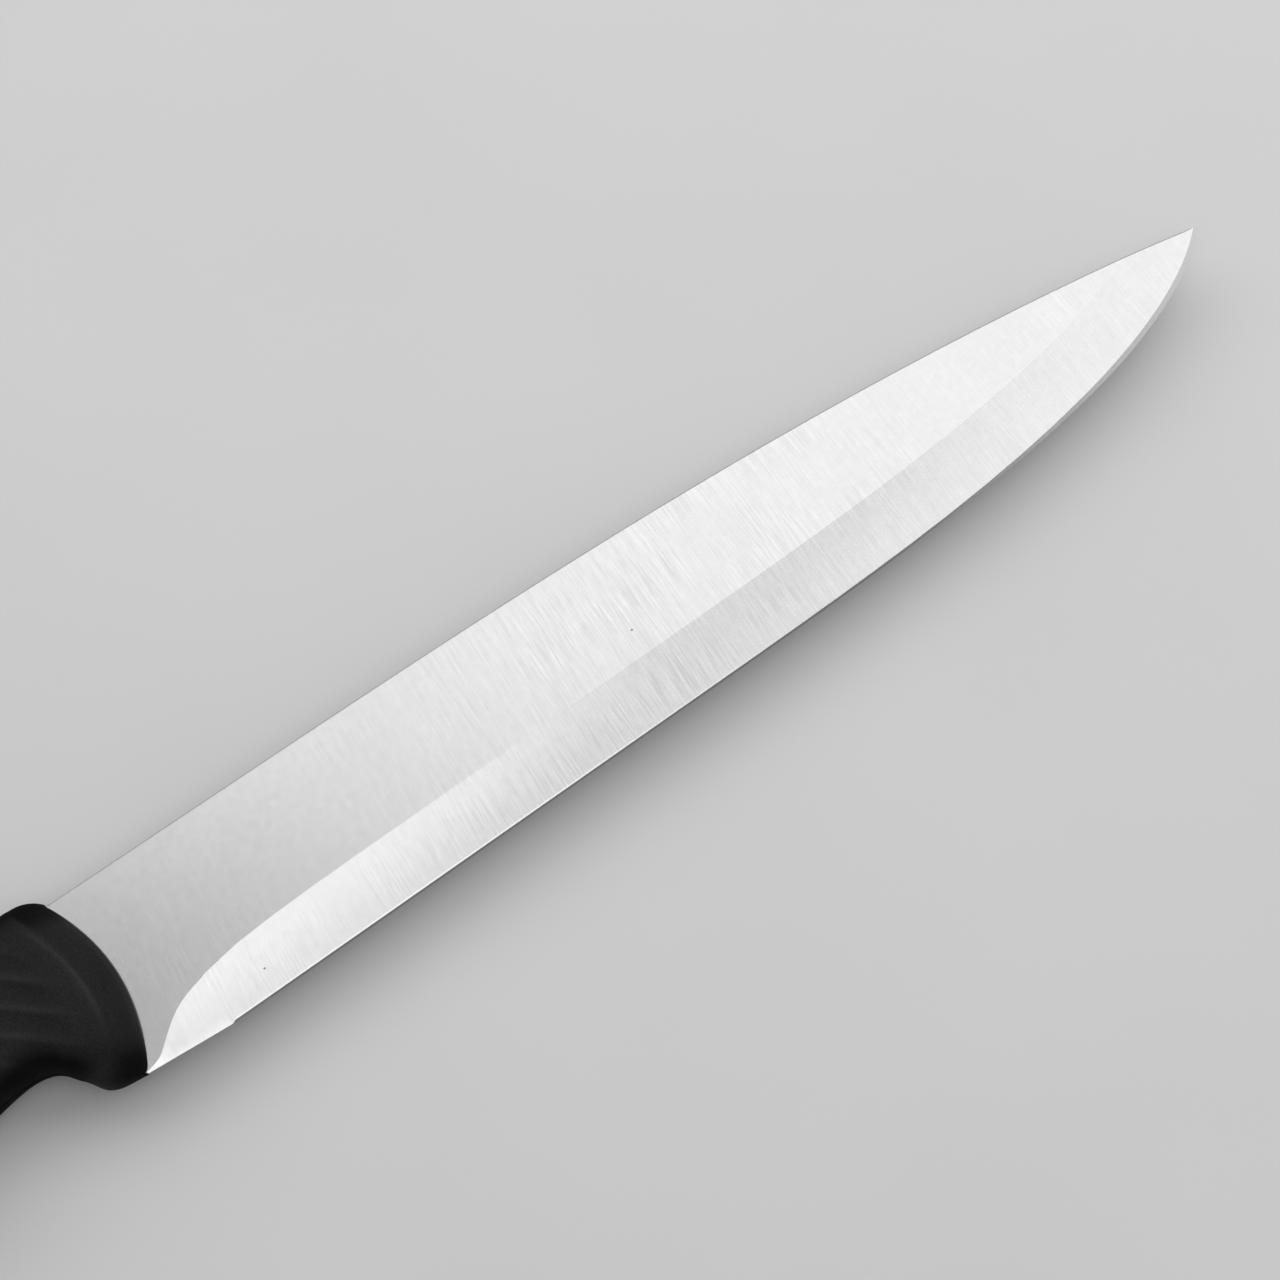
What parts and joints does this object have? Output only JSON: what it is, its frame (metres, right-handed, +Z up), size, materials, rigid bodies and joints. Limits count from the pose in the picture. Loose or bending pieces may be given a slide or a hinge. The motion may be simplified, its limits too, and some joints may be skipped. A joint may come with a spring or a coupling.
{
  "type": "kitchen knife",
  "caption": "Slicing kitchen knife with a broad pointed steel blade, a long ground bevel and a black moulded handle with a finger guard.",
  "frame": {"origin": "under the middle of the whole knife's box, at its lowest point, with the knife lying on its left side", "axes": "+X towards the tip, +Y towards the spine, +Z up and square to the blade's flat sides"},
  "size_m": [0.3206, 0.0316, 0.0185],
  "materials": {
    "blade_steel": "fine satin, brushed across from the spine to the edge",
    "handle_plastic": "black, fine matte grain on the sides and smooth at the front rim",
    "pin_steel": "plain turned steel, hidden in the handle"
  },
  "bodies": {
    "root": {"blade": "blade_steel", "handle_right": "handle_plastic", "handle_left": "handle_plastic", "tang_pin_front": "pin_steel", "tang_pin_middle": "pin_steel", "tang_pin_rear": "pin_steel"}
  },
  "joints": []
}
